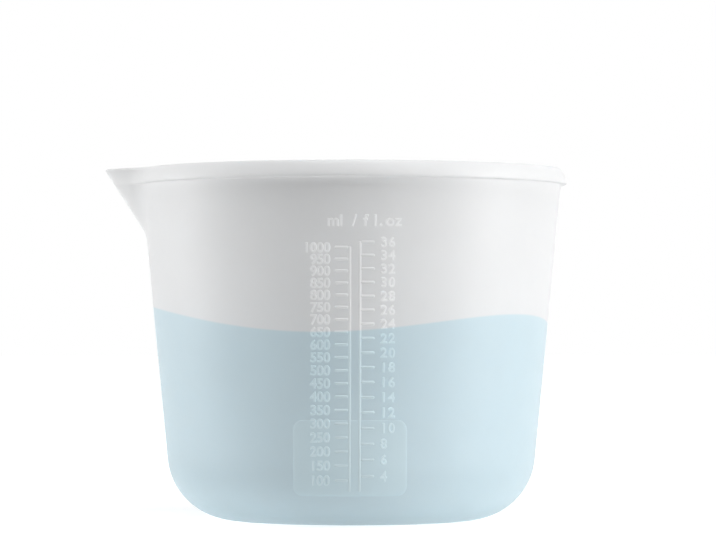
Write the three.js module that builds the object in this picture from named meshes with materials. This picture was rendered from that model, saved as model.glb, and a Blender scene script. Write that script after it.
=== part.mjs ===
// Silicone measuring cup: a tapered round cup moulded in one piece, with a thick rim, a pointed pouring
// spout and a raised double scale in millilitres and imperial fluid ounces.
// Millimetres, +Z up. The origin is on the cup's axis, in the plane that the cup stands on.
// The spout points to -X and the scale faces -Y.

import * as THREE from 'three';

// Cup: the straight wall leans out from the base radius, and a large round joins it to the floor
const HEIGHT = 116.7;
const BASE_RADIUS = 59.4;
const DRAFT_DEGREES = 5.44;
const CORNER_RADIUS = 22.4;
const WALL = 2;
const FLOOR = 4;

// Rim: a bead on the outside with a nearly square lower edge and a sloping upper side, and a round inner
// edge. The powers bend the bead's two quarter turns: below one is squarer than round, above one is flatter.
const BEAD_HEIGHT = 5.3;
const BEAD_LOWER = 2;
const BEAD_OVERHANG = 1.9;
const BEAD_LOWER_POWER = 0.5;
const BEAD_UPPER_POWER = 1.5;
const CROWN_INSET = 0.6;
const LIP_ROUND = 1.1;

// Spout: how far it reaches past the wall at the rim, how far down the wall it starts, and its rounds
const SPOUT_REACH = 12;
const SPOUT_DROP = 22;
const SPOUT_HALF_WIDTH = 18;
const KEEL_ROUND = 4;
const KEEL_BLEND = 1.2;
const FLANK_BLEND = 5.5;

// Scale: two upright rails with level marks on their outer sides, raised on the wall
const RAIL_SPACING = 3.2;
const RAIL_WIDTH = 0.6;
const RAIL_TAIL = 3.5;
const MARK_LENGTH = 4.4;
const MARK_WIDTH = 0.55;
const RELIEF = 0.4;
const SEAT_GAP = 0.1;
const BEAD_MARGIN = 2;

// Volumes that the marks show
const ML_FIRST = 100;
const ML_STEP = 50;
const ML_LAST = 1000;
const FL_OZ_FIRST = 4;
const FL_OZ_STEP = 2;
const FL_OZ_LAST = 36;
const ML_PER_FL_OZ = 28.4131;
const CUBIC_MM_PER_ML = 1000;

// Fineness of the facets
const TURN_SEGMENTS = 92;
const SPOUT_CROWDING = 0.65;
const CORNER_STEPS = 8;
const BEAD_STEPS = 4;
const LIP_STEPS = 2;
const SPOUT_ROWS = 9;
const RAIL_ROWS = 28;
const MARK_COLUMNS = 2;
const SLICE_HEIGHT = 0.05;

// Colours
const SILICONE = new THREE.MeshStandardMaterial({ color: 0xe6eaec, roughness: 0.5, metalness: 0 });
const RAISED_SCALE = new THREE.MeshStandardMaterial({ color: 0xf5f7f8, roughness: 0.45, metalness: 0 });

const DRAFT = THREE.MathUtils.degToRad(DRAFT_DEGREES);
const SPOUT_ROOT = HEIGHT - SPOUT_DROP;

// Radius of the straight wall's outer face at a height, or of a face set in from it
function wallRadius(z, inset = 0) {
  return BASE_RADIUS + (z * Math.sin(DRAFT) - inset) / Math.cos(DRAFT);
}

// One face of the cup: the round that starts level on the floor and runs out into the straight wall
function cupFace(floor, inset, cornerRadius) {
  const centreZ = floor + cornerRadius;
  return {
    inset,
    cornerRadius,
    centreZ,
    centreR: wallRadius(centreZ, inset + cornerRadius),
    wallStart: centreZ - cornerRadius * Math.sin(DRAFT),
  };
}

const OUTER_FACE = cupFace(0, 0, CORNER_RADIUS);
const INNER_FACE = cupFace(FLOOR, WALL, CORNER_RADIUS - WALL);

function faceRadius(face, z) {
  if (z >= face.wallStart) {
    return wallRadius(z, face.inset);
  }
  return face.centreR + Math.sqrt(face.cornerRadius ** 2 - (z - face.centreZ) ** 2);
}

// Direction that a face points in at a height, as its outward and upward parts
function faceNormal(face, z) {
  const sine = z >= face.wallStart ? -Math.sin(DRAFT) : (z - face.centreZ) / face.cornerRadius;
  return new THREE.Vector2(Math.sqrt(1 - sine ** 2), sine);
}

// A face from the floor to a height near the rim, with extra rows of points where the spout bends the wall
function faceOutline(face, top) {
  const { centreR, centreZ, cornerRadius } = face;
  const round = new THREE.EllipseCurve(centreR, centreZ, cornerRadius, cornerRadius, -Math.PI / 2, -DRAFT);
  const points = round.getPoints(CORNER_STEPS);
  const start = SPOUT_ROOT - KEEL_BLEND * (SPOUT_DROP / SPOUT_REACH);
  for (let row = 0; row <= SPOUT_ROWS; row += 1) {
    const z = THREE.MathUtils.lerp(start, top, row / SPOUT_ROWS);
    points.push(new THREE.Vector2(wallRadius(z, face.inset), z));
  }
  return points;
}

// The bead steps out of the wall to its widest place and slopes in to the top of the rim
function beadOutline() {
  const widest = HEIGHT - BEAD_HEIGHT + BEAD_LOWER;
  const crown = wallRadius(HEIGHT) - CROWN_INSET;
  const reach = wallRadius(widest) + BEAD_OVERHANG - crown;
  const lower = [];
  const upper = [];
  for (let step = 1; step <= BEAD_STEPS; step += 1) {
    const angle = (Math.PI / 2) * (step / BEAD_STEPS);
    const lowerZ = widest - BEAD_LOWER * Math.cos(angle) ** BEAD_LOWER_POWER;
    const lowerR = wallRadius(lowerZ) + BEAD_OVERHANG * Math.sin(angle) ** BEAD_LOWER_POWER;
    lower.push(new THREE.Vector2(lowerR, lowerZ));
    const upperZ = widest + (HEIGHT - widest) * Math.sin(angle) ** BEAD_UPPER_POWER;
    upper.push(new THREE.Vector2(crown + reach * Math.cos(angle) ** BEAD_UPPER_POWER, upperZ));
  }
  return [...lower, ...upper];
}

// The inner edge of the rim, from its top to the inner wall
function lipOutline() {
  const z = HEIGHT - LIP_ROUND;
  const r = wallRadius(z, WALL) + LIP_ROUND;
  return new THREE.EllipseCurve(r, z, LIP_ROUND, LIP_ROUND, Math.PI / 2, Math.PI).getPoints(LIP_STEPS);
}

// Half section of the cup without its spout, from the axis under the floor to the axis above it
function cupSection() {
  return [
    new THREE.Vector2(0, 0),
    ...faceOutline(OUTER_FACE, HEIGHT - BEAD_HEIGHT),
    ...beadOutline(),
    ...lipOutline(),
    ...faceOutline(INNER_FACE, HEIGHT - BEAD_HEIGHT).reverse(),
    new THREE.Vector2(0, FLOOR),
  ];
}

// Zero for negative values, the value itself for positive ones, and a smooth bend between them
function softPositive(value, blend) {
  if (Math.abs(value) >= blend) {
    return Math.max(0, value);
  }
  return (value + blend) ** 2 / (4 * blend);
}

// How far the spout draws a point out: two flanks that meet in a straight keel and bend softly into the wall.
// A point that already stands out on the bead moves less, so that the bead runs out into the flanks.
function spoutPull(y, z, bead) {
  const acrossKeel = Math.hypot(y, KEEL_ROUND) - KEEL_ROUND;
  const flankWidth = Math.hypot(SPOUT_HALF_WIDTH, KEEL_ROUND) - KEEL_ROUND;
  const share = (z - SPOUT_ROOT) / SPOUT_DROP - acrossKeel / flankWidth;
  const blend = THREE.MathUtils.lerp(KEEL_BLEND, FLANK_BLEND, Math.min(1, Math.abs(y) / SPOUT_HALF_WIDTH));
  return softPositive(SPOUT_REACH * share - bead, blend);
}

// Draws the spout out of the turned cup. Segments are crowded towards it, where the form is finest.
function drawOutSpout(geometry) {
  const position = geometry.getAttribute('position');
  for (let i = 0; i < position.count; i += 1) {
    const z = position.getZ(i);
    const radius = Math.hypot(position.getX(i), position.getY(i));
    const evenAngle = Math.atan2(position.getY(i), -position.getX(i));
    const angle = evenAngle - SPOUT_CROWDING * Math.sin(evenAngle);
    const y = radius * Math.sin(angle);
    const bead = Math.max(0, radius - wallRadius(z));
    const pull = Math.cos(angle) > 0 ? spoutPull(y, z, bead) : 0;
    position.setXYZ(i, -radius * Math.cos(angle) - pull, y, z);
  }
  geometry.computeVertexNormals();
}

function cup() {
  const geometry = new THREE.LatheGeometry(cupSection(), TURN_SEGMENTS);
  geometry.rotateX(Math.PI / 2);
  drawOutSpout(geometry);
  const mesh = new THREE.Mesh(geometry, SILICONE);
  mesh.name = 'cup';
  return mesh;
}

// Height that a volume fills the cup to, summed over thin slices of the inside
function fillHeight(millilitres) {
  const target = millilitres * CUBIC_MM_PER_ML;
  let filled = 0;
  let z = FLOOR;
  while (filled < target) {
    filled += Math.PI * faceRadius(INNER_FACE, z + SLICE_HEIGHT / 2) ** 2 * SLICE_HEIGHT;
    z += SLICE_HEIGHT;
  }
  return z;
}

// Lays a flat form on the outer face: x runs round the front of the cup, y is the height on the wall,
// and z stands off the wall
function wrapOnWall(geometry) {
  const position = geometry.getAttribute('position');
  for (let i = 0; i < position.count; i += 1) {
    const z = position.getY(i);
    const wall = faceRadius(OUTER_FACE, z);
    const normal = faceNormal(OUTER_FACE, z).multiplyScalar(position.getZ(i));
    const angle = position.getX(i) / wall;
    const radius = wall + normal.x;
    position.setXYZ(i, radius * Math.sin(angle), -radius * Math.cos(angle), z + normal.y);
  }
  geometry.computeVertexNormals();
}

// A raised bar on the wall between two sides and two heights
function raisedBar(name, sides, heights, columns, rows) {
  const [left, right] = sides.toSorted((a, b) => a - b);
  const [low, high] = heights;
  const geometry = new THREE.BoxGeometry(right - left, high - low, RELIEF, columns, rows, 1);
  geometry.translate((left + right) / 2, (low + high) / 2, SEAT_GAP + RELIEF / 2);
  wrapOnWall(geometry);
  const mesh = new THREE.Mesh(geometry, RAISED_SCALE);
  mesh.name = name;
  return mesh;
}

// The volumes of one scale with their heights, as far up as there is wall under the bead
function graduations(first, step, last, millilitresPerUnit) {
  const marks = [];
  for (let volume = first; volume <= last; volume += step) {
    const height = fillHeight(volume * millilitresPerUnit);
    if (height < HEIGHT - BEAD_HEIGHT - BEAD_MARGIN) {
      marks.push({ volume, height });
    }
  }
  return marks;
}

// One rail with its marks, which point away from the other rail
function scale(unit, direction, foot, marks) {
  const group = new THREE.Group();
  const railInside = direction * (RAIL_SPACING - RAIL_WIDTH) / 2;
  const railOutside = railInside + direction * RAIL_WIDTH;
  const markStart = railOutside + direction * SEAT_GAP;
  const markEnd = railOutside + direction * MARK_LENGTH;
  const top = marks[marks.length - 1].height + MARK_WIDTH / 2;
  group.add(raisedBar(`${unit}_rail`, [railInside, railOutside], [foot, top], 1, RAIL_ROWS));
  for (const { volume, height } of marks) {
    const heights = [height - MARK_WIDTH / 2, height + MARK_WIDTH / 2];
    group.add(raisedBar(`${unit}_mark_${volume}`, [markStart, markEnd], heights, MARK_COLUMNS, 1));
  }
  return group;
}

const mlMarks = graduations(ML_FIRST, ML_STEP, ML_LAST, 1);
const flOzMarks = graduations(FL_OZ_FIRST, FL_OZ_STEP, FL_OZ_LAST, ML_PER_FL_OZ);
const railFoot = Math.min(mlMarks[0].height, flOzMarks[0].height) - RAIL_TAIL;

const measuringCup = new THREE.Group();
measuringCup.name = 'measuring_cup';
measuringCup.add(cup(), scale('ml', -1, railFoot, mlMarks), scale('fl_oz', 1, railFoot, flOzMarks));

export default measuringCup;
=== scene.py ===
# Looks of the silicone measuring cup: the milky cup, its raised scale and the blue liquid that it holds.
# Metres, +Z up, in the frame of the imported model: the spout points to -X and the scale faces -Y.

import math
from collections import namedtuple

import bmesh
import bpy
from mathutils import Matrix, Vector


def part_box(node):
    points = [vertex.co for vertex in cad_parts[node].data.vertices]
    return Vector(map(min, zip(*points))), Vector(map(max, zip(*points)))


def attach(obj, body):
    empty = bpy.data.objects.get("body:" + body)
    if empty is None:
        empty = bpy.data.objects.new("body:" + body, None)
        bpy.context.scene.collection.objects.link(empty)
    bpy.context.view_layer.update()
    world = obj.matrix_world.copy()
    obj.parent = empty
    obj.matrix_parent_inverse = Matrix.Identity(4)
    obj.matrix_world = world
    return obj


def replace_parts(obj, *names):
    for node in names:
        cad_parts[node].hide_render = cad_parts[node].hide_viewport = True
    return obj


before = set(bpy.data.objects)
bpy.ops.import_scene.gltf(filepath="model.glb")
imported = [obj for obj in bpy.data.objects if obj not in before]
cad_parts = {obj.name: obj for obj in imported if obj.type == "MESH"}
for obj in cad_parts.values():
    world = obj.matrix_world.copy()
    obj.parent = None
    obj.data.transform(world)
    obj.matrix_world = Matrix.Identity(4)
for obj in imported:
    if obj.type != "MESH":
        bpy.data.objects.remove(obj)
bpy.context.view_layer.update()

Face = namedtuple("Face", "inset corner centre_z centre_r wall_start")
Wave = namedtuple("Wave", "mode front right")
Word = namedtuple("Word", "text along spacing")
Silicone = namedtuple("Silicone", "name dry wet clearness smooth rough")
Softbox = namedtuple("Softbox", "name place target width height power")

# Cup
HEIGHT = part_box("cup")[1].z
BASE_RADIUS = 0.0594
DRAFT = math.radians(5.44)
CORNER_RADIUS = 0.0224
WALL = 0.002
FLOOR = 0.004

# Rim bead and inner edge of the rim
BEAD_HEIGHT = 0.0053
BEAD_LOWER = 0.0006
BEAD_OVERHANG = 0.0019
BEAD_LOWER_POWER = 0.5
BEAD_UPPER_POWER = 1.4
CROWN_INSET = 0.0006
LIP_ROUND = 0.0011

# Spout
SPOUT_REACH = 0.012
SPOUT_DROP = 0.022
SPOUT_HALF_WIDTH = 0.018
KEEL_ROUND = 0.004
KEEL_BLEND = 0.0012
FLANK_BLEND = 0.0055

# Raised rails and marks
RELIEF = 0.00022
ROOT_DEPTH = 0.0001
FOOT_SPREAD = 1.6
SIDE_POWER = 1.3

# Raised characters, with the height and the middle of a digit as shares of the size of the type
CHARACTER_RELIEF = 0.0003
STROKE_ROUND = 0.00012
STROKE_CREASE = math.radians(12)
DIGIT_HEIGHT = 0.003
DIGIT_SHARE = 0.69
DIGIT_MIDDLE = 0.341
ML_SPACING = 0.98
FL_OZ_SPACING = 1.16
ML_GAP = 0.0014
FL_OZ_GAP = 0.0018

# Units above the scale: each word's place round the wall and the spacing of its letters
UNIT_HEIGHT = 0.0035
UNIT_LEVEL = 0.0977
UNIT_WORDS = (
    Word(text="ml", along=-0.0088, spacing=1.0),
    Word(text="/", along=-0.0009, spacing=1.0),
    Word(text="f", along=0.0027, spacing=1.0),
    Word(text="l.", along=0.0059, spacing=1.3),
    Word(text="oz", along=0.0097, spacing=1.1),
)

# Bare panel low on the front
PANEL_CENTRE = -0.0014
PANEL_WIDTH = 0.0366
PANEL_LOW = 0.0103
PANEL_HIGH = 0.0346
PANEL_CORNER = 0.0032
PANEL_RELIEF = 0.0001
PANEL_EDGE = 0.0014

# Liquid: its mean level, and the waves that run across its surface
LIQUID_LEVEL = 0.0656
LIQUID_GAP = 0.00005
LINE_BLUR = 0.0003
WAVES = (
    Wave(mode=1, front=0.0005, right=-0.003),
    Wave(mode=2, front=-0.0018, right=0.0028),
    Wave(mode=3, front=-0.0014, right=0.0004),
)

# Fineness of the cup's mesh
TURN_SEGMENTS = 256
SPOUT_CROWDING = 0.65
FLOOR_RINGS = (0.3, 0.65)
CORNER_STEPS = 28
WALL_STEPS = 14
SPOUT_STEPS = 44
BEAD_STEPS = 12
LIP_STEPS = 8
SAME_POINT = 1e-7

# Fineness of the raised forms
BAR_STEP = 0.0015
BAR_LEAST_STEPS = 2
BAR_ARC_STEPS = 10
BAR_END_RINGS = (0.0, 0.08, 0.3, 0.65)
BAR_TIP = 0.15
STROKE_ROUND_STEPS = 2
STROKE_CURVE_STEPS = 6
PANEL_ARC_STEPS = 8
PANEL_SIDE_STEPS = 32
PANEL_EDGE_STEPS = 6
PANEL_FACE_STEPS = 14
PANEL_FACE_OUTER = 0.95
PANEL_FACE_INNER = 0.05

# Fineness of the liquid's mesh
LIQUID_SEGMENTS = 192
LIQUID_SIDE_STEPS = 40
LIQUID_SIDE_POWER = 1.6
LIQUID_TOP_STEPS = 24
LIQUID_TOP_OUTER = 0.98
LIQUID_TOP_INNER = 0.04

# Silicone: colours with air and with liquid behind it, how clear it is, and its least and greatest roughness
WALL_DRY = (0.835, 0.838, 0.841, 1.0)
# Painted light: a lighter colour for the bead, standing in for top light scattered through it and lifting
# the shade on its downward-facing lower side
BEAD_PAINTED_LIGHT = (0.89, 0.892, 0.894, 1.0)
MILKY = Silicone(name="milky_silicone", dry=WALL_DRY, wet=(0.665, 0.785, 0.832, 1.0),
                 clearness=0.18, smooth=0.42, rough=0.5)
PANEL = Silicone(name="panel_silicone", dry=WALL_DRY, wet=(0.685, 0.825, 0.878, 1.0),
                 clearness=0.12, smooth=0.42, rough=0.5)
RAISED = Silicone(name="raised_silicone", dry=(0.88, 0.885, 0.89, 1.0), wet=(0.71, 0.835, 0.88, 1.0),
                  clearness=0.1, smooth=0.4, rough=0.48)
CHARACTERS = Silicone(name="character_silicone", dry=(0.95, 0.955, 0.96, 1.0), wet=(0.77, 0.9, 0.945, 1.0),
                      clearness=0.1, smooth=0.4, rough=0.48)
SILICONE_IOR = 1.41

# Faint clouds in the silicone, patches of its sheen, the slow sway of its skin and its fine grain
CLOUD = (0.975, 0.975, 0.975)
CLEAR = (1.0, 1.0, 1.0)
CLOUD_FINENESS = 45.0
CLOUD_DETAIL = 3.0
SHEEN_FINENESS = 700.0
SWAY_FINENESS = 60.0
SWAY_DEPTH = 0.0006
SWAY_STRENGTH = 0.2
GRAIN_FINENESS = 2200.0
GRAIN_DEPTH = 0.00005
GRAIN_STRENGTH = 0.3

# Noise: its usual detail, and the range that most of its values lie in
NOISE_DETAIL = 2.0
NOISE_LOW = 0.3
NOISE_HIGH = 0.7

# Blue liquid
LIQUID_DEEP = (0.22, 0.66, 0.90)
LIQUID_PALE = (0.28, 0.72, 0.92)
LIQUID_CLOUD_FINENESS = 30.0
LIQUID_SHEEN_FINENESS = 90.0
LIQUID_SMOOTH = 0.05
LIQUID_ROUGH = 0.1
LIQUID_CLEARNESS = 0.2
LIQUID_IOR = 1.33

# Shares of the lamps' light that one face of the silicone and of the liquid lets through
SILICONE_PASSES = 0.8
BEAD_PASSES = 0.3
LIQUID_PASSES = 0.95

# How softly the bead's look starts at its lower edge, and how far up from there its painted light is
# strongest
BEAD_BLUR = 0.0005
BEAD_PAINTED_LIGHT_TO = 0.001

# Places of a mix node's sockets for colours
MIX_FACTOR = 0
MIX_FIRST = 6
MIX_SECOND = 7
MIX_RESULT = 2

# Photograph: image size, and where the cup's axis and the camera's eye level lie in it
IMAGE_WIDTH = 716
IMAGE_HEIGHT = 540
AXIS_X = 351.3
EYE_LEVEL_Y = 325.5

# Camera
CAMERA_DISTANCE = 1.143
EYE_HEIGHT = 0.06455
CAMERA_AZIMUTH = math.radians(-0.9)
CAMERA_REACH = 20
FOCAL_PIXELS = 3416
SENSOR_WIDTH = 36

# Studio: surroundings, a floor whose white is weaker near the cup, and lamps
WHITE = (1.0, 1.0, 1.0, 1.0)
AMBIENT = 0.05
STAGE_HALF_SIZE = 6.0
STAGE_COLOUR = (0.86, 0.86, 0.86, 1.0)
STAGE_ROUGHNESS = 0.9
STAGE_GLOW = 0.3
GLOW_START = 0.1
GLOW_END = 0.7
SOFTBOXES = (
    Softbox(name="right_softbox", place=(0.97, -0.22, 0.24), target=(0, 0, 0.05),
            width=0.5, height=0.46, power=5.5),
    Softbox(name="left_softbox", place=(-1.0, 0.14, 0.2), target=(0, 0, 0.05),
            width=0.5, height=0.38, power=4.2),
    Softbox(name="top_softbox", place=(0, -0.3, 1.1), target=(0, 0, 0.06),
            width=0.8, height=0.8, power=10.7),
)

# Heights that follow from the sizes
SPOUT_ROOT = HEIGHT - SPOUT_DROP
BEAD_FOOT = HEIGHT - BEAD_HEIGHT


def wall_radius(z, inset=0.0):
    """Radius of the straight wall's outer face at a height, or of a face set in from it."""
    return BASE_RADIUS + (z * math.sin(DRAFT) - inset) / math.cos(DRAFT)


def cup_face(floor, inset, corner):
    """One face of the cup: the round that starts level on the floor and runs out into the straight wall."""
    centre_z = floor + corner
    centre_r = wall_radius(centre_z, inset + corner)
    return Face(inset, corner, centre_z, centre_r, centre_z - corner * math.sin(DRAFT))


OUTER_FACE = cup_face(0.0, 0.0, CORNER_RADIUS)
INNER_FACE = cup_face(FLOOR, WALL, CORNER_RADIUS - WALL)


def face_radius(face, z):
    """Radius of one face of the cup at a height."""
    if z >= face.wall_start:
        return wall_radius(z, face.inset)
    return face.centre_r + math.sqrt(max(0.0, face.corner ** 2 - (z - face.centre_z) ** 2))


def on_wall(along, z, stand):
    """Point on the outer face, a way round from the front and a way off the wall."""
    radius = face_radius(OUTER_FACE, z)
    if z >= OUTER_FACE.wall_start:
        sine = -math.sin(DRAFT)
    else:
        sine = (z - OUTER_FACE.centre_z) / OUTER_FACE.corner
    angle = along / radius
    out = radius + stand * math.sqrt(1 - sine ** 2)
    return Vector((out * math.sin(angle), -out * math.cos(angle), z + stand * sine))


def steps(start, end, count):
    """Even steps from start to end, both included."""
    return [start + (end - start) * i / count for i in range(count + 1)]


# Meshes

def loft(rings):
    """Points and faces of a closed skin through rings of points. Each end closes to its middle."""
    count = len(rings[0])
    points = [p for ring in rings for p in ring]
    faces = []
    for row in range(len(rings) - 1):
        for i in range(count):
            j = (i + 1) % count
            low, high = row * count, (row + 1) * count
            faces.append((low + i, low + j, high + j, high + i))
    for ring, first in ((rings[0], 0), (rings[-1], (len(rings) - 1) * count)):
        middle = len(points)
        points.append(sum(ring, Vector()) / count)
        faces += [(first + i, first + (i + 1) % count, middle) for i in range(count)]
    return points, faces


def mark_depth(mesh):
    """Notes at each point how far it lies below the line where the liquid meets the wall."""
    depth = mesh.attributes.new("liquid_depth", "FLOAT", "POINT")
    for vertex, value in zip(mesh.vertices, depth.data):
        x, y, z = vertex.co
        value.value = liquid_height(math.atan2(x, -y), 1.0) - z


def make_piece(name, forms, material, crease=math.pi):
    """One piece of the object from closed forms, each a list of points and a list of faces."""
    points, faces = [], []
    for form_points, form_faces in forms:
        base = len(points)
        points += form_points
        faces += [tuple(base + i for i in face) for face in form_faces]
    mesh = bpy.data.meshes.new(name)
    mesh.from_pydata(points, [], faces)
    shape = bmesh.new()
    shape.from_mesh(mesh)
    bmesh.ops.remove_doubles(shape, verts=shape.verts, dist=SAME_POINT)
    bmesh.ops.recalc_face_normals(shape, faces=shape.faces)
    shape.to_mesh(mesh)
    shape.free()
    mesh.shade_smooth()
    mesh.set_sharp_from_angle(angle=crease)
    mark_depth(mesh)
    mesh.materials.append(material)
    piece = bpy.data.objects.new(name, mesh)
    bpy.context.scene.collection.objects.link(piece)
    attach(piece, "root")
    return piece


# Cup shell

def face_outline(face, top):
    """A face from the floor to a height near the rim, as radius and height."""
    outline = [(face.centre_r * share, face.centre_z - face.corner) for share in FLOOR_RINGS]
    for angle in steps(-math.pi / 2, -DRAFT, CORNER_STEPS):
        radius = face.centre_r + face.corner * math.cos(angle)
        outline.append((radius, face.centre_z + face.corner * math.sin(angle)))
    bend = SPOUT_ROOT - KEEL_BLEND * SPOUT_DROP / SPOUT_REACH
    heights = steps(face.wall_start, bend, WALL_STEPS)[1:-1] + steps(bend, top, SPOUT_STEPS)
    return outline + [(wall_radius(z, face.inset), z) for z in heights]


def bead_outline():
    """The bead steps out of the wall to its widest place and slopes in to the top of the rim."""
    widest = BEAD_FOOT + BEAD_LOWER
    crown = wall_radius(HEIGHT) - CROWN_INSET
    reach = wall_radius(widest) + BEAD_OVERHANG - crown
    lower, upper = [], []
    for angle in steps(0, math.pi / 2, BEAD_STEPS)[1:]:
        sine, cosine = math.sin(angle), abs(math.cos(angle))
        z = widest - BEAD_LOWER * cosine ** BEAD_LOWER_POWER
        lower.append((wall_radius(z) + BEAD_OVERHANG * sine ** BEAD_LOWER_POWER, z))
        z = widest + (HEIGHT - widest) * sine ** BEAD_UPPER_POWER
        upper.append((crown + reach * cosine ** BEAD_UPPER_POWER, z))
    return lower + upper


def lip_outline():
    """The inner edge of the rim, from its top to the inner wall."""
    z = HEIGHT - LIP_ROUND
    radius = wall_radius(z, WALL) + LIP_ROUND
    turn = steps(math.pi / 2, math.pi, LIP_STEPS)
    return [(radius + LIP_ROUND * math.cos(a), z + LIP_ROUND * math.sin(a)) for a in turn]


def soft_positive(value, blend):
    """Zero for negative values, the value itself for positive ones, and a smooth bend between them."""
    if abs(value) >= blend:
        return max(0.0, value)
    return (value + blend) ** 2 / (4 * blend)


def spout_pull(y, z, bead):
    """How far the spout draws a point out.

    Two flanks meet in a straight keel and bend softly into the wall. The bead runs out into them.
    """
    across_keel = math.hypot(y, KEEL_ROUND) - KEEL_ROUND
    flank_width = math.hypot(SPOUT_HALF_WIDTH, KEEL_ROUND) - KEEL_ROUND
    share = (z - SPOUT_ROOT) / SPOUT_DROP - across_keel / flank_width
    blend = KEEL_BLEND + (FLANK_BLEND - KEEL_BLEND) * min(1.0, abs(y) / SPOUT_HALF_WIDTH)
    return soft_positive(SPOUT_REACH * share - bead, blend)


def on_cup(radius, z, angle):
    """Point of the turned cup, drawn out where the spout is. The angle starts at the spout."""
    y = radius * math.sin(angle)
    bead = max(0.0, radius - wall_radius(z))
    pull = spout_pull(y, z, bead) if math.cos(angle) > 0 else 0.0
    return Vector((-radius * math.cos(angle) - pull, y, z))


def cup_shell():
    """The cup's skin, outside and inside, with its points closer together round the spout."""
    section = face_outline(OUTER_FACE, BEAD_FOOT) + bead_outline() + lip_outline()
    section += face_outline(INNER_FACE, BEAD_FOOT)[::-1]
    even = [2 * math.pi * i / TURN_SEGMENTS for i in range(TURN_SEGMENTS)]
    angles = [a - SPOUT_CROWDING * math.sin(a) for a in even]
    return loft([[on_cup(radius, z, angle) for angle in angles] for radius, z in section])


# Raised scale

def raised_bar(start, end, width):
    """A rounded bar on the wall between two points, each a way round and a height."""
    (u0, z0), (u1, z1) = start, end
    length = math.hypot(u1 - u0, z1 - z0)
    along_u, along_z = (u1 - u0) / length, (z1 - z0) / length
    width *= FOOT_SPREAD
    cap = width / 2
    ends = [cap * share for share in BAR_END_RINGS]
    middle = steps(cap, length - cap, max(BAR_LEAST_STEPS, round(length / BAR_STEP)))
    rings = []
    for place in ends + middle + [length - e for e in ends[::-1]]:
        near = min(place, length - place, cap) / cap
        full = max(BAR_TIP, math.sqrt(1 - (1 - near) ** 2))
        section = []
        for turn in steps(0, math.pi, BAR_ARC_STEPS):
            side = width / 2 * math.cos(turn) * full
            section.append((side, RELIEF * abs(math.sin(turn)) ** SIDE_POWER * full))
        section += [(-width / 2 * full, -ROOT_DEPTH), (width / 2 * full, -ROOT_DEPTH)]
        ring = []
        for side, stand in section:
            u = u0 + along_u * place - along_z * side
            z = z0 + along_z * place + along_u * side
            ring.append(on_wall(u, z, stand))
        rings.append(ring)
    return loft(rings)


def node_bar(node):
    """The rounded bar that stands for one rail or mark."""
    low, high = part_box(node)
    middle = (low + high) / 2
    if high.z - low.z > high.x - low.x:
        return raised_bar((middle.x, low.z), (middle.x, high.z), high.x - low.x)
    return raised_bar((low.x, middle.z), (high.x, middle.z), high.z - low.z)


# Characters

def lettering(text, along, z, height, align, spacing):
    """Raised characters on the wall, set at a place and a height."""
    curve = bpy.data.curves.new("letters", "FONT")
    curve.body = text
    curve.align_x = align
    curve.space_character = spacing
    curve.size = height / DIGIT_SHARE
    curve.extrude = CHARACTER_RELIEF / 2
    curve.bevel_depth = STROKE_ROUND
    curve.bevel_resolution = STROKE_ROUND_STEPS
    curve.resolution_u = STROKE_CURVE_STEPS
    holder = bpy.data.objects.new("letters", curve)
    bpy.context.scene.collection.objects.link(holder)
    bpy.context.view_layer.update()
    graph = bpy.context.evaluated_depsgraph_get()
    mesh = bpy.data.meshes.new_from_object(holder.evaluated_get(graph))
    middle = DIGIT_MIDDLE * curve.size
    lift = CHARACTER_RELIEF / 2 - ROOT_DEPTH
    points = [on_wall(along + v.co.x, z + v.co.y - middle, v.co.z + lift) for v in mesh.vertices]
    faces = [tuple(p.vertices) for p in mesh.polygons]
    bpy.data.objects.remove(holder)
    bpy.data.curves.remove(curve)
    bpy.data.meshes.remove(mesh)
    return points, faces


def numerals(unit, align, direction, gap, spacing):
    """The number beside each mark of one scale."""
    forms = []
    for node in sorted(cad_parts):
        if node.startswith(unit + "_mark_"):
            low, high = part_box(node)
            edge = max(abs(low.x), abs(high.x)) + gap
            volume = node.rsplit("_", 1)[1]
            level = (low.z + high.z) / 2
            forms.append(lettering(volume, direction * edge, level, DIGIT_HEIGHT, align, spacing))
    return forms


def unit_heading():
    """The two units above the scale."""
    return [lettering(word.text, word.along, UNIT_LEVEL, UNIT_HEIGHT, "LEFT", word.spacing)
            for word in UNIT_WORDS]


# Bare panel

def panel_outline(inset):
    """Rounded outline of the panel, drawn in by an inset, as places round the wall and heights."""
    half = PANEL_WIDTH / 2 - inset
    low, high = PANEL_LOW + inset, PANEL_HIGH - inset
    corner = PANEL_CORNER - inset
    middles = ((half - corner, high - corner), (corner - half, high - corner),
               (corner - half, low + corner), (half - corner, low + corner))
    arcs = []
    for quarter, (u, z) in enumerate(middles):
        turn = steps(quarter * math.pi / 2, (quarter + 1) * math.pi / 2, PANEL_ARC_STEPS)
        arcs.append([(u + corner * math.cos(angle), z + corner * math.sin(angle)) for angle in turn])
    outline = []
    for arc, following in zip(arcs, arcs[1:] + arcs[:1]):
        (u0, z0), (u1, z1) = arc[-1], following[0]
        side = list(zip(steps(u0, u1, PANEL_SIDE_STEPS), steps(z0, z1, PANEL_SIDE_STEPS)))
        outline += arc + side[1:-1]
    return outline


def bare_panel():
    """A thin raised plate that follows the wall, with a soft edge."""
    rings = [[on_wall(PANEL_CENTRE + u, z, -ROOT_DEPTH) for u, z in panel_outline(0.0)]]
    for angle in steps(0, math.pi / 2, PANEL_EDGE_STEPS):
        stand = PANEL_RELIEF * math.sin(angle)
        outline = panel_outline(PANEL_EDGE * (1 - math.cos(angle)))
        rings.append([on_wall(PANEL_CENTRE + u, z, stand) for u, z in outline])
    middle = (PANEL_LOW + PANEL_HIGH) / 2
    for share in steps(PANEL_FACE_OUTER, PANEL_FACE_INNER, PANEL_FACE_STEPS):
        rings.append([on_wall(PANEL_CENTRE + u * share, middle + (z - middle) * share, PANEL_RELIEF)
                      for u, z in panel_outline(PANEL_EDGE)])
    return loft(rings)


# Liquid

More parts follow.
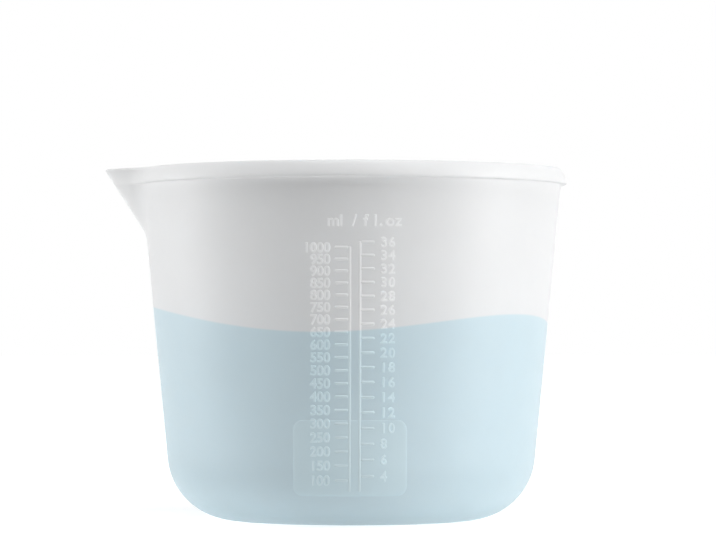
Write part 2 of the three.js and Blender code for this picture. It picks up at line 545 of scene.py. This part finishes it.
def liquid_height(angle, share):
    """Height of the surface at an angle from the front and a share of the way to the wall."""
    height = LIQUID_LEVEL
    for mode, front, right in WAVES:
        height += share ** mode * (front * math.cos(mode * angle) + right * math.sin(mode * angle))
    return height


def liquid_point(angle, z, share):
    """Point in the liquid at an angle from the front, a height and a share of the way to the wall."""
    radius = share * (face_radius(INNER_FACE, z) - LIQUID_GAP)
    return Vector((radius * math.sin(angle), -radius * math.cos(angle), z))


def liquid_fill():
    """The body of liquid, against the floor and wall, with waves on its surface."""
    angles = [2 * math.pi * i / LIQUID_SEGMENTS for i in range(LIQUID_SEGMENTS)]
    floor = FLOOR + LIQUID_GAP
    rings = []
    for share in steps(0, 1, LIQUID_SIDE_STEPS):
        ring = []
        for angle in angles:
            z = floor + (liquid_height(angle, 1.0) - floor) * share ** LIQUID_SIDE_POWER
            ring.append(liquid_point(angle, z, 1.0))
        rings.append(ring)
    for share in steps(LIQUID_TOP_OUTER, LIQUID_TOP_INNER, LIQUID_TOP_STEPS):
        rings.append([liquid_point(angle, liquid_height(angle, share), share) for angle in angles])
    return loft(rings)


# Materials

def new_material(name):
    """A material with its nodes and its main shader."""
    material = bpy.data.materials.new(name)
    material.use_nodes = True
    tree = material.node_tree
    return material, tree, tree.nodes["Principled BSDF"]


def feed(tree, socket, value):
    """Links an output to an input, or sets the input to a plain value."""
    if isinstance(value, bpy.types.NodeSocket):
        tree.links.new(value, socket)
    else:
        socket.default_value = value


def own_space(tree):
    """Place in the object's own space."""
    return tree.nodes.new("ShaderNodeTexCoord").outputs["Object"]


def height_above_floor(tree):
    """Height in the object's own space."""
    split = tree.nodes.new("ShaderNodeSeparateXYZ")
    tree.links.new(own_space(tree), split.inputs["Vector"])
    return split.outputs["Z"]


def noise(tree, fineness, detail=NOISE_DETAIL):
    """Noise over the object's own space."""
    texture = tree.nodes.new("ShaderNodeTexNoise")
    texture.inputs["Scale"].default_value = fineness
    texture.inputs["Detail"].default_value = detail
    tree.links.new(own_space(tree), texture.inputs["Vector"])
    return texture.outputs["Fac"]


def ramp(tree, factor, low, high):
    """Colours between two ends, by a noise."""
    node = tree.nodes.new("ShaderNodeValToRGB")
    first, last = node.color_ramp.elements
    first.position = NOISE_LOW
    last.position = NOISE_HIGH
    first.color = (*low, 1.0)
    last.color = (*high, 1.0)
    tree.links.new(factor, node.inputs["Fac"])
    return node.outputs["Color"]


def spread(tree, factor, low, high, start=NOISE_LOW, end=NOISE_HIGH):
    """A number between two ends, by a factor that runs from a start to an end."""
    node = tree.nodes.new("ShaderNodeMapRange")
    node.inputs["From Min"].default_value = start
    node.inputs["From Max"].default_value = end
    node.inputs["To Min"].default_value = low
    node.inputs["To Max"].default_value = high
    tree.links.new(factor, node.inputs["Value"])
    return node.outputs["Result"]


def bump(tree, relief, distance, strength, below=None):
    """Unevenness of the skin, over another one if there is one below."""
    node = tree.nodes.new("ShaderNodeBump")
    node.inputs["Distance"].default_value = distance
    node.inputs["Strength"].default_value = strength
    tree.links.new(relief, node.inputs["Height"])
    if below:
        tree.links.new(below, node.inputs["Normal"])
    return node.outputs["Normal"]


def calculate(tree, operation, first, second):
    """A number from two others."""
    node = tree.nodes.new("ShaderNodeMath")
    node.operation = operation
    feed(tree, node.inputs[0], first)
    feed(tree, node.inputs[1], second)
    return node.outputs["Value"]


def mix_colours(tree, blend, factor, first, second):
    """Two colours mixed by a factor."""
    node = tree.nodes.new("ShaderNodeMix")
    node.data_type = "RGBA"
    node.blend_type = blend
    feed(tree, node.inputs[MIX_FACTOR], factor)
    feed(tree, node.inputs[MIX_FIRST], first)
    feed(tree, node.inputs[MIX_SECOND], second)
    return node.outputs[MIX_RESULT]


def mix_shaders(tree, factor, first, second):
    """Two shaders mixed by a factor."""
    node = tree.nodes.new("ShaderNodeMixShader")
    tree.links.new(factor, node.inputs[0])
    tree.links.new(first, node.inputs[1])
    tree.links.new(second, node.inputs[2])
    return node.outputs[0]


def let_lamps_through(tree, shader, share):
    """Lets a share of the lamps' light through to what is behind the surface."""
    path = tree.nodes.new("ShaderNodeLightPath")
    clear = tree.nodes.new("ShaderNodeBsdfTransparent")
    passing = calculate(tree, "MULTIPLY", path.outputs["Is Shadow Ray"], share)
    mixed = mix_shaders(tree, passing, shader.outputs[0], clear.outputs[0])
    tree.links.new(mixed, tree.nodes["Material Output"].inputs["Surface"])


def below_liquid_line(tree):
    """One where the liquid stands behind the wall, and zero above its line."""
    depth = tree.nodes.new("ShaderNodeAttribute")
    depth.attribute_name = "liquid_depth"
    return spread(tree, depth.outputs["Fac"], 0.0, 1.0, -LINE_BLUR, LINE_BLUR)


def in_bead(tree, z, outside, inside):
    """One number below the bead and another in it."""
    return spread(tree, z, outside, inside, BEAD_FOOT - BEAD_BLUR, BEAD_FOOT + BEAD_BLUR)


def silicone(kind):
    """Milky silicone with faint clouds, a satin skin and fine unevenness.

    It has one colour where there is air behind it and another where the liquid shines through it.
    The bead has painted light: it is lighter towards its lower side, which faces down, standing in for top
    light scattered through the bead.
    """
    material, tree, shader = new_material(kind.name)
    z = height_above_floor(tree)
    # Painted light on the bead: strongest just above its lower edge, fading out towards the top of the rim
    painted_light_fade = spread(tree, z, 1.0, 0.0, BEAD_FOOT + BEAD_PAINTED_LIGHT_TO, HEIGHT)
    painted_bead_light = calculate(tree, "MULTIPLY", in_bead(tree, z, 0.0, 1.0), painted_light_fade)
    dry = mix_colours(tree, "MIX", painted_bead_light, kind.dry, BEAD_PAINTED_LIGHT)
    backed = mix_colours(tree, "MIX", below_liquid_line(tree), dry, kind.wet)
    clouds = ramp(tree, noise(tree, CLOUD_FINENESS, CLOUD_DETAIL), CLOUD, CLEAR)
    colour = mix_colours(tree, "MULTIPLY", 1.0, backed, clouds)
    roughness = spread(tree, noise(tree, SHEEN_FINENESS), kind.smooth, kind.rough)
    sway = bump(tree, noise(tree, SWAY_FINENESS), SWAY_DEPTH, SWAY_STRENGTH)
    skin = bump(tree, noise(tree, GRAIN_FINENESS), GRAIN_DEPTH, GRAIN_STRENGTH, sway)
    tree.links.new(colour, shader.inputs["Base Color"])
    tree.links.new(roughness, shader.inputs["Roughness"])
    tree.links.new(skin, shader.inputs["Normal"])
    shader.inputs["IOR"].default_value = SILICONE_IOR
    shader.inputs["Transmission Weight"].default_value = kind.clearness
    let_lamps_through(tree, shader, in_bead(tree, z, SILICONE_PASSES, BEAD_PASSES))
    return material


def blue_liquid():
    """Blue liquid, slightly cloudy, with a glossy surface."""
    material, tree, shader = new_material("blue_liquid")
    colour = ramp(tree, noise(tree, LIQUID_CLOUD_FINENESS, CLOUD_DETAIL), LIQUID_DEEP, LIQUID_PALE)
    roughness = spread(tree, noise(tree, LIQUID_SHEEN_FINENESS), LIQUID_SMOOTH, LIQUID_ROUGH)
    tree.links.new(colour, shader.inputs["Base Color"])
    tree.links.new(roughness, shader.inputs["Roughness"])
    shader.inputs["IOR"].default_value = LIQUID_IOR
    shader.inputs["Transmission Weight"].default_value = LIQUID_CLEARNESS
    let_lamps_through(tree, shader, LIQUID_PASSES)
    return material


# Studio

def make_light(box):
    """A lamp with a rectangle of light, turned towards its target."""
    light = bpy.data.lights.new(box.name, "AREA")
    light.shape = "RECTANGLE"
    light.size = box.width
    light.size_y = box.height
    light.energy = box.power
    lamp = bpy.data.objects.new(box.name, light)
    lamp.location = box.place
    aim = Vector(box.target) - Vector(box.place)
    lamp.rotation_euler = aim.to_track_quat("-Z", "Y").to_euler()
    bpy.context.scene.collection.objects.link(lamp)


def background_rays(tree):
    """One for rays that show the background to the camera, straight, mirrored or through a clear thing."""
    path = tree.nodes.new("ShaderNodeLightPath")
    total = path.outputs["Is Camera Ray"]
    for name in ("Is Glossy Ray", "Is Transmission Ray"):
        total = calculate(tree, "MAXIMUM", total, path.outputs[name])
    return total


def make_world():
    """A white background that lights the object at a plain level."""
    world = bpy.data.worlds.new("studio")
    world.use_nodes = True
    bpy.context.scene.world = world
    tree = world.node_tree
    lit = tree.nodes["Background"]
    lit.inputs["Color"].default_value = WHITE
    lit.inputs["Strength"].default_value = AMBIENT
    shown = tree.nodes.new("ShaderNodeBackground")
    shown.inputs["Color"].default_value = WHITE
    shown.inputs["Strength"].default_value = 1.0
    mixed = mix_shaders(tree, background_rays(tree), lit.outputs[0], shown.outputs[0])
    tree.links.new(mixed, tree.nodes["World Output"].inputs["Surface"])


def floor_glow(tree):
    """Strength of the floor's white for the rays that show it, weaker near the cup."""
    distance = tree.nodes.new("ShaderNodeVectorMath")
    distance.operation = "LENGTH"
    tree.links.new(own_space(tree), distance.inputs[0])
    fade = spread(tree, distance.outputs["Value"], STAGE_GLOW, 1.0, GLOW_START, GLOW_END)
    fade.node.interpolation_type = "SMOOTHSTEP"
    return calculate(tree, "MULTIPLY", background_rays(tree), fade)


def make_floor():
    """A plain white floor that keeps the cup's shadow."""
    mesh = bpy.data.meshes.new("floor")
    half = STAGE_HALF_SIZE
    corners = [(-half, -half, 0), (half, -half, 0), (half, half, 0), (-half, half, 0)]
    mesh.from_pydata(corners, [], [(0, 1, 2, 3)])
    material, tree, shader = new_material("floor")
    shader.inputs["Base Color"].default_value = STAGE_COLOUR
    shader.inputs["Roughness"].default_value = STAGE_ROUGHNESS
    shader.inputs["Specular IOR Level"].default_value = 0.0
    emission = tree.nodes.new("ShaderNodeEmission")
    tree.links.new(floor_glow(tree), emission.inputs["Strength"])
    add = tree.nodes.new("ShaderNodeAddShader")
    tree.links.new(shader.outputs[0], add.inputs[0])
    tree.links.new(emission.outputs[0], add.inputs[1])
    tree.links.new(add.outputs[0], tree.nodes["Material Output"].inputs["Surface"])
    mesh.materials.append(material)
    floor = bpy.data.objects.new("floor", mesh)
    bpy.context.scene.collection.objects.link(floor)


def make_camera():
    """The photograph's camera, aimed so that the cup stands where it does there."""
    camera = bpy.data.cameras.new("camera")
    camera.sensor_width = SENSOR_WIDTH
    camera.lens = SENSOR_WIDTH * FOCAL_PIXELS / IMAGE_WIDTH
    camera.clip_end = CAMERA_REACH
    holder = bpy.data.objects.new("camera", camera)
    x = CAMERA_DISTANCE * math.sin(CAMERA_AZIMUTH)
    y = -CAMERA_DISTANCE * math.cos(CAMERA_AZIMUTH)
    holder.location = (x, y, EYE_HEIGHT)
    pitch = math.atan((EYE_LEVEL_Y - IMAGE_HEIGHT / 2) / FOCAL_PIXELS)
    yaw = math.atan((IMAGE_WIDTH / 2 - AXIS_X) / FOCAL_PIXELS)
    holder.rotation_euler = (math.pi / 2 + pitch, 0, CAMERA_AZIMUTH - yaw)
    bpy.context.scene.collection.objects.link(holder)
    bpy.context.scene.camera = holder


make_camera()
make_world()
make_floor()
for softbox in SOFTBOXES:
    make_light(softbox)

milky = silicone(MILKY)
raised = silicone(RAISED)
characters = silicone(CHARACTERS)
panel = silicone(PANEL)

ml_nodes = sorted(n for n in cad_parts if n.startswith("ml_"))
fl_oz_nodes = sorted(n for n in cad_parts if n.startswith("fl_oz_"))
ml_bars = [node_bar(n) for n in ml_nodes]
fl_oz_bars = [node_bar(n) for n in fl_oz_nodes]
ml_numerals = numerals("ml", "RIGHT", -1, ML_GAP, ML_SPACING)
fl_oz_numerals = numerals("fl_oz", "LEFT", 1, FL_OZ_GAP, FL_OZ_SPACING)

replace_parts(make_piece("cup_shell", [cup_shell()], milky), "cup")
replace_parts(make_piece("ml_scale", ml_bars, raised), *ml_nodes)
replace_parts(make_piece("fl_oz_scale", fl_oz_bars, raised), *fl_oz_nodes)
make_piece("ml_numerals", ml_numerals, characters, STROKE_CREASE)
make_piece("fl_oz_numerals", fl_oz_numerals, characters, STROKE_CREASE)
make_piece("unit_heading", unit_heading(), characters, STROKE_CREASE)
make_piece("bare_panel", [bare_panel()], panel)
make_piece("liquid_fill", [liquid_fill()], blue_liquid())

bpy.context.scene.view_settings.view_transform = "Standard"
